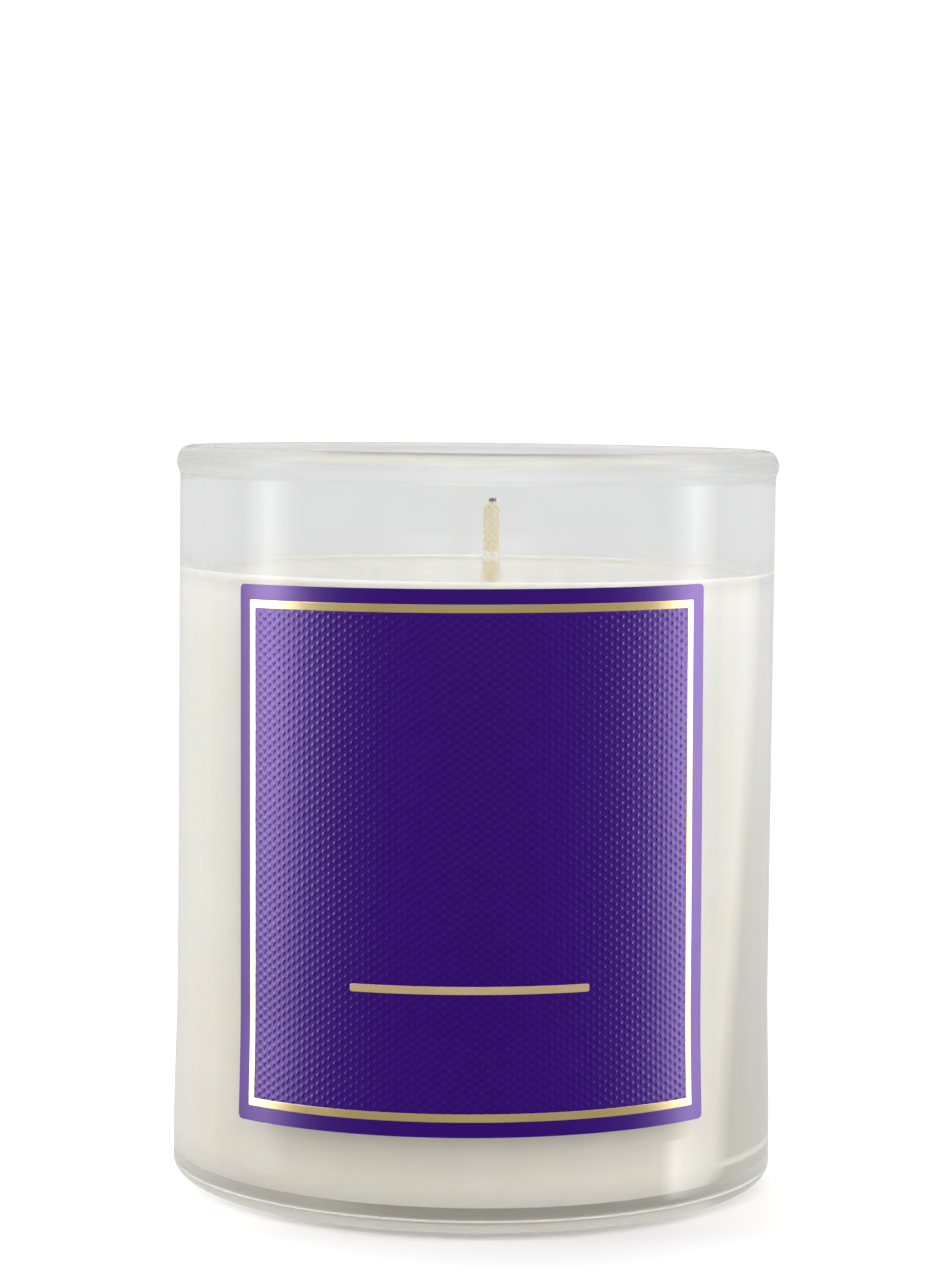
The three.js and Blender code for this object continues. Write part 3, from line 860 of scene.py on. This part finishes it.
def grid_lines(half, field_half, pitch):
    """Grid lines across the label: two in each margin and the multiples of a pitch between."""
    margin = (FRAME_MARGIN * 0.8, FRAME_MARGIN + FRAME_STRIP / 2)
    count = math.floor(field_half / pitch)
    field = [i * pitch for i in range(-count, count + 1)]
    return [b - half for b in margin] + field + [half - b for b in reversed(margin)]


def make_label(print_material, back_material):
    """One closed sheet. Its face carries the dots inside the frame, and its back is plain."""
    half_width, half_height = LABEL_WIDTH / 2, LABEL_HEIGHT / 2
    straight_s, straight_t = half_width - LABEL_CORNER, half_height - LABEL_CORNER
    right = arc((straight_s, straight_t), (LABEL_CORNER, LABEL_CORNER), 90, 0, 6)
    left = [(-s, half) for s, half in reversed(right)]
    s_lines = grid_lines(half_width, FIELD_HALF_WIDTH, DOT_COLUMN / 4)
    t_lines = grid_lines(half_height, FIELD_HALF_HEIGHT, DOT_ROW / 4)
    columns = left + [(s, half_height) for s in s_lines] + right
    rows = len(t_lines) + 2

    points = []
    normals = []
    for s, half in columns:
        for t in [-half, *t_lines, half]:
            edge = min(half_width - abs(s), half - abs(t))
            sunk = LABEL_OUTSIDE * 0.35 * (1 - smoothstep(0.0, 0.08 * MM, edge))
            points.append(on_glass(s, t, LABEL_OUTSIDE + dot_height(s, t) - sunk))
            normals.append(label_normal(s, t))
    back = len(points)
    for s, half in columns:
        for k in range(BACK_ROWS + 1):
            t = mix(-half, half, k / BACK_ROWS)
            points.append(on_glass(s, t, LABEL_INSIDE))
            normals.append(-label_normal(s, t))

    faces = []
    back_faces = []
    last = len(columns) - 1
    for c in range(last):
        here, there = c * rows, (c + 1) * rows
        faces += [(here + r, there + r, there + r + 1, here + r + 1) for r in range(rows - 1)]
        low, next_low = back + c * (BACK_ROWS + 1), back + (c + 1) * (BACK_ROWS + 1)
        back_faces += [(low + k, low + k + 1, next_low + k + 1, next_low + k) for k in range(BACK_ROWS)]
        faces.append((here, low, next_low, there))
        faces.append((here + rows - 1, there + rows - 1, next_low + BACK_ROWS, low + BACK_ROWS))
    left_back = range(back, back + BACK_ROWS + 1)
    right_back = range(len(points) - BACK_ROWS - 1, len(points))
    faces.append((*range(rows), *reversed(left_back)))
    faces.append((*reversed(range(last * rows, last * rows + rows)), *right_back))
    slots = [0] * len(faces) + [1] * len(back_faces)
    label = mesh_object("label_sheet", points, faces + back_faces, [print_material, back_material], slots)
    label.data.normals_split_custom_set_from_vertices(normals)
    return label


def rounded_rectangle(width, height, corner, per_side):
    """Points (s, t) round a rectangle with rounded corners, anticlockwise."""
    half_s, half_t = width / 2 - corner, height / 2 - corner
    corners = [(half_s, half_t, 0), (-half_s, half_t, 90), (-half_s, -half_t, 180), (half_s, -half_t, 270)]
    loop = []
    for i, (s, t, turn) in enumerate(corners):
        loop += arc((s, t), (corner, corner), turn, turn + 90, 5)
        end = loop[-1]
        next_s, next_t, next_turn = corners[(i + 1) % 4]
        start = arc((next_s, next_t), (corner, corner), next_turn, next_turn + 90, 1)[0]
        shares = [k / per_side for k in range(1, per_side)]
        loop += [(mix(end[0], start[0], share), mix(end[1], start[1], share)) for share in shares]
    return loop


def foil_section(width):
    """Across a strip of foil: distance from its edge and height above the glass."""
    face = [(inset, FOIL_OUTSIDE) for inset in (FOIL_BEVEL, 3 * FOIL_BEVEL)]
    edge = [(0.0, LABEL_OUTSIDE - FOIL_BITE), (0.0, FOIL_OUTSIDE - FOIL_BEVEL), *face]
    return edge + [(width / 2, FOIL_OUTSIDE)] + [(width - inset, level) for inset, level in reversed(edge)]


def make_foil_frame(material):
    """A thin band with bevelled edges, closed both round the label and round its section."""
    width, height = LABEL_WIDTH - 2 * FRAME_MARGIN, LABEL_HEIGHT - 2 * FRAME_MARGIN
    loops = []
    for inset, level in foil_section(FRAME_STRIP):
        outline = rounded_rectangle(width - 2 * inset, height - 2 * inset, FRAME_CORNER, 90)
        loops.append([on_glass(s, t, level) for s, t in outline])
    points, faces, _ = loft(loops, closed=True)
    return mesh_object("foil_frame_band", points, faces, [material])


def make_foil_rule(material):
    """A short foil line across the lower part of the label, with rounded corners."""
    half_length, half_strip = RULE_LENGTH / 2, RULE_STRIP / 2
    corner = (half_length - RULE_CORNER, half_strip - RULE_CORNER)
    right = arc(corner, (RULE_CORNER, RULE_CORNER), 90, 0, 6)
    left = [(-s, half) for s, half in reversed(right)]
    columns = left + [(mix(-corner[0], corner[0], i / 60), half_strip) for i in range(1, 60)] + right
    loops = []
    for s, half in columns:
        highest = FOIL_OUTSIDE - FOIL_BEVEL if abs(s) == half_length else FOIL_OUTSIDE
        section = [(half - inset, min(level, highest)) for inset, level in foil_section(2 * half)]
        loops.append([on_glass(s, t + RULE_MIDDLE, level) for t, level in section])
    points, faces, _ = loft(loops)
    return mesh_object("foil_rule_band", points, faces, [material])


# -------------------------------- studio

FLOOR_GAP = 0.02 * MM  # between the floor and the foot of the jar
FLOOR_HALF = 4.0


def make_floor():
    f = Finish("studio_floor", Roughness=0.9, Specular_IOR_Level=0.1)
    f.set("Base Color", f.ramp(f.noise(3, detail=2), [(0.3, 0.9), (0.7, 0.93)]))
    half, z = FLOOR_HALF, -FLOOR_GAP
    corners = [(-half, -half, z), (half, -half, z), (half, half, z), (-half, half, z)]
    floor = mesh_object("studio_floor", corners, [(0, 1, 2, 3)], [f.material])
    floor.visible_diffuse = False
    floor.visible_glossy = False
    floor.visible_transmission = False
    return floor


# Radiance of the room, by what its light falls on.
BACKDROP_LIGHT = 1.05  # as the camera sees it
ROOM_LIGHT = (0.02, 0.66)  # on the floor and the outside of the candle, from the card and elsewhere
THROUGH_GLASS = (0.72, 0.795)  # as seen through the glass, from below and from the level up
INTO_JAR = (0.90, 2.36)  # on the wax inside the glass, from below and from the level up
SHEEN = (0.02, 0.68)  # in reflections, from the card and elsewhere
CARD_SHADE = (0.45, 1.0)  # factor on the light into the jar, from the card and elsewhere
SIDE_BIAS = (1.0, 1.12)  # factor on the light into the jar, from the left and from the right
BACK_SHADE = (1.0, 0.70)  # factor on the light into the jar, from elsewhere and from the back
BACK_EDGES = (0.3, 1.0)  # how far to the back a direction points where that shade sets in
CARD_SHAPE = (0.9, 1.0, 1.6)  # weights of a direction's parts in its distance from the front
CARD_EDGES = (0.95, 1.6)  # of the card, as such a distance
SHEEN_EDGES = (1.35, 1.75)  # the same in reflections
LOW_EDGES = (-0.5, -0.05)  # height of a direction where the light from below gives way


def make_world():
    """A white room with a black card round the camera."""
    world = bpy.data.worlds.new("studio")
    bpy.context.scene.world = world
    world.use_nodes = True
    nodes = world.node_tree.nodes
    links = world.node_tree.links

    def feed(socket, value):
        if isinstance(value, (int, float)):
            socket.default_value = value
        else:
            links.new(value, socket)

    def ramped(source, edges, ends):
        made = nodes.new("ShaderNodeMapRange")
        made.interpolation_type = "SMOOTHSTEP"
        sockets = ("Value", "From Min", "From Max", "To Min", "To Max")
        for socket, value in zip(sockets, (source, *edges, *ends)):
            feed(made.inputs[socket], value)
        return made.outputs["Result"]

    def choose(condition, value, otherwise):
        made = nodes.new("ShaderNodeMix")
        for name, source in (("Factor", condition), ("A", otherwise), ("B", value)):
            feed(made.inputs[name], source)
        return made.outputs["Result"]

    def product(a, b):
        made = nodes.new("ShaderNodeMath")
        made.operation = "MULTIPLY"
        feed(made.inputs[0], a)
        feed(made.inputs[1], b)
        return made.outputs["Value"]

    direction = nodes.new("ShaderNodeTexCoord").outputs["Generated"]
    apart = nodes.new("ShaderNodeSeparateXYZ")
    links.new(direction, apart.inputs["Vector"])
    from_front = nodes.new("ShaderNodeMapping")
    from_front.inputs["Scale"].default_value = CARD_SHAPE
    from_front.inputs["Location"].default_value = (0, 1.0, 0)
    links.new(direction, from_front.inputs["Vector"])
    distance = nodes.new("ShaderNodeVectorMath")
    distance.operation = "LENGTH"
    links.new(from_front.outputs["Vector"], distance.inputs[0])

    path = nodes.new("ShaderNodeLightPath")
    through_glass = ramped(apart.outputs["Z"], LOW_EDGES, THROUGH_GLASS)
    shade = product(
        ramped(distance.outputs["Value"], CARD_EDGES, CARD_SHADE),
        ramped(apart.outputs["X"], (-1.0, 1.0), SIDE_BIAS),
    )
    shade = product(shade, ramped(apart.outputs["Y"], BACK_EDGES, BACK_SHADE))
    into_jar = product(ramped(apart.outputs["Z"], LOW_EDGES, INTO_JAR), shade)
    inside = choose(path.outputs["Diffuse Depth"], into_jar, through_glass)
    sheen = ramped(distance.outputs["Value"], SHEEN_EDGES, SHEEN)
    room_light = ramped(distance.outputs["Value"], CARD_EDGES, ROOM_LIGHT)
    level = choose(path.outputs["Transmission Depth"], inside, sheen)
    level = choose(path.outputs["Is Diffuse Ray"], room_light, level)
    level = choose(path.outputs["Is Camera Ray"], BACKDROP_LIGHT, level)
    world.cycles.sampling_method = "NONE"  # a sampled light would not know what kind of ray it lights
    background = nodes["Background"]
    background.inputs["Color"].default_value = (1, 1, 1, 1)
    links.new(level, background.inputs["Strength"])


# Softboxes: azimuth in degrees from the front towards +X, width, lowest and highest edge,
# and radiance at some heights. They reach below the floor, which hides their foot, so
# that their reflections run down the whole jar.
SOFTBOX_DISTANCE = 0.6
SOFTBOXES = {
    "left_softbox": (-82.5, 0.30, -0.115, 0.8, [(-0.115, 0.7), (-0.06, 1.3), (0.03, 2.9), (0.08, 3.3)]),
    "right_softbox": (89.5, 0.30, -0.127, 0.8, [(-0.127, 2.2), (0.04, 2.3), (0.08, 3.7)]),
    "right_foot": (82.4, 0.16, -0.132, -0.09, [(-0.132, 3.0)]),
}
LABEL_SOFTBOXES = {
    "left_label_light": (-82.2, 0.28, -0.115, 0.8, [(-0.115, 2.4), (-0.06, 4.2), (0.03, 6.3)]),
    "right_label_light": (89.2, 0.28, -0.127, 0.8, [(-0.127, 4.5), (0.04, 5.8)]),
}
FOIL_SOFTBOXES = {
    "left_foil_light": (-88.0, 0.28, -0.115, 0.8, [(-0.115, 4.8), (-0.06, 8.5), (0.03, 13.5)]),
    "right_foil_light": (90.5, 0.28, -0.127, 0.8, [(-0.127, 6.5), (0.04, 6.6)]),
    "front_foil_light": (0.0, 0.5, -0.3, 0.0, [(-0.3, 0.30)]),
}
SOFTBOX_PROFILE = [(0.0, 0.0), (0.25, 0.45), (0.5, 1.0), (0.75, 0.45), (1.0, 0.0)]  # across it
FILL_SIZE = 1.4
FILL_PLACE = (0.1, -1.2, 0.75)
FILL_RADIANCE = 1.75


def area_light(name, width, height, radiance):
    light = bpy.data.lights.new(name, "AREA")
    light.shape = "RECTANGLE"
    light.size = width
    light.size_y = height
    light.energy = radiance * math.pi * width * height
    obj = bpy.data.objects.new(name, light)
    bpy.context.scene.collection.objects.link(obj)
    obj.visible_camera = False
    return obj


def make_softbox(name, azimuth, width, low, high, levels):
    """A tall softbox that faces the jar, brightest along its middle line."""
    brightest = max(level for _, level in levels)
    obj = area_light(name, width, high - low, brightest)
    angle = math.radians(azimuth)
    place = (SOFTBOX_DISTANCE * math.sin(angle), -SOFTBOX_DISTANCE * math.cos(angle), (low + high) / 2)
    obj.location = place
    obj.rotation_euler = (math.radians(90), 0, angle)

    obj.data.use_nodes = True
    nodes = obj.data.node_tree.nodes
    links = obj.data.node_tree.links
    apart = nodes.new("ShaderNodeSeparateXYZ")
    links.new(nodes.new("ShaderNodeNewGeometry").outputs["Parametric"], apart.inputs["Vector"])
    upward = [((z - low) / (high - low), level / brightest) for z, level in levels]
    product = nodes.new("ShaderNodeMath")
    product.operation = "MULTIPLY"
    for slot, axis, stops in ((0, "X", SOFTBOX_PROFILE), (1, "Y", upward)):
        ramp = nodes.new("ShaderNodeValToRGB")
        set_stops(ramp, stops)
        links.new(apart.outputs[axis], ramp.inputs["Fac"])
        links.new(ramp.outputs["Color"], product.inputs[slot])
    links.new(product.outputs["Value"], nodes["Emission"].inputs["Strength"])
    obj.visible_transmission = False
    return obj


def group(name, pieces):
    made = bpy.data.collections.new(name)
    for piece in pieces:
        made.objects.link(piece)
    return made


def light_only(light, pieces):
    """Lets a light fall on some pieces alone."""
    light.light_linking.receiver_collection = group(light.name + "_receivers", pieces)


def shade_only(light, pieces):
    """Lets some pieces alone cast a shadow in a light."""
    light.light_linking.blocker_collection = group(light.name + "_blockers", pieces)


def make_fill():
    """A large soft light above the camera that lights the wax and leaves no reflection."""
    obj = area_light("front_fill", FILL_SIZE, FILL_SIZE, FILL_RADIANCE)
    place = Vector(FILL_PLACE)
    obj.location = place
    obj.rotation_euler = place.to_track_quat("Z", "Y").to_euler()
    obj.visible_glossy = False


KEY_STRENGTH = 0.95
WASH_STRENGTH = 1.95
OVERHEAD_SPREAD = math.radians(50)
OVERHEAD_FROM = (-0.12, 0.32, 1.0)


def make_overhead(name, strength):
    """Soft light from above and a little behind."""
    light = bpy.data.lights.new(name, "SUN")
    light.energy = strength
    light.angle = OVERHEAD_SPREAD
    obj = bpy.data.objects.new(name, light)
    bpy.context.scene.collection.objects.link(obj)
    obj.rotation_euler = Vector(OVERHEAD_FROM).to_track_quat("Z", "Y").to_euler()
    obj.visible_glossy = False
    return obj


def make_camera():
    data = bpy.data.cameras.new("camera")
    data.lens = CAMERA_LENS
    data.sensor_width = CAMERA_SENSOR
    data.clip_start = 0.01
    camera = bpy.data.objects.new("camera", data)
    bpy.context.scene.collection.objects.link(camera)
    turn = Matrix.Rotation(CAMERA_AZIMUTH, 4, "Z")
    place = turn @ Matrix.Translation((CAMERA_SIDESTEP, -CAMERA_DISTANCE, CAMERA_HEIGHT))
    aim = Matrix.Rotation(math.radians(90) - CAMERA_PITCH, 4, "X")
    camera.matrix_world = place @ aim @ Matrix.Rotation(CAMERA_ROLL, 4, "Z")
    bpy.context.scene.camera = camera


def make_studio(jar, contents, label, foils):
    floor = make_floor()
    make_world()
    for name, (*place, levels) in SOFTBOXES.items():
        make_softbox(name, *place, levels)
    for lit, softboxes in (([label], LABEL_SOFTBOXES), (foils, FOIL_SOFTBOXES)):
        for name, (*place, levels) in softboxes.items():
            light = make_softbox(name, *place, levels)
            light.visible_diffuse = False
            light_only(light, lit)
    make_fill()
    light_only(make_overhead("key", KEY_STRENGTH), [jar, *contents])
    wash = make_overhead("floor_wash", WASH_STRENGTH)
    light_only(wash, [floor])
    shade_only(wash, contents)  # the clear glass of the foot lets this light through
    make_camera()
    view = bpy.context.scene.view_settings
    view.view_transform = "Standard"
    view.look = "None"
    cycles = bpy.context.scene.cycles
    cycles.max_bounces = 64
    cycles.diffuse_bounces = 16
    cycles.glossy_bounces = 48
    cycles.transmission_bounces = 48


# -------------------------------- the candle

def dress(piece, node):
    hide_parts(node)
    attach(piece, "root")
    return piece


jar = dress(make_jar(clear_glass()), "glass_jar")
wax = dress(make_wax(wax_in_glass(), wax_surface()), "wax_fill")
wick = dress(make_wick(braided_cotton()), "wick")
tab = dress(make_tab(tinplate()), "wick_tab")
pad = dress(make_pad(foam_adhesive()), "tab_adhesive")
label = dress(make_label(printed_label(), label_paper()), "label")
# the rule takes a lighter, fully diffuse copy of the foil: painted reflection of the floor
frame_foil, lit_rule_foil = gold_foil("frame_foil", 0.3, FRAME_GOLD), gold_foil("lit_rule_foil", 0.0, RULE_GOLD_LIT)
frame_band = dress(make_foil_frame(frame_foil), "label_foil_frame")
rule_band = dress(make_foil_rule(lit_rule_foil), "label_foil_rule")
foils = [frame_band, rule_band]
make_studio(jar, [wax, wick, tab, pad, label, *foils], label, foils)
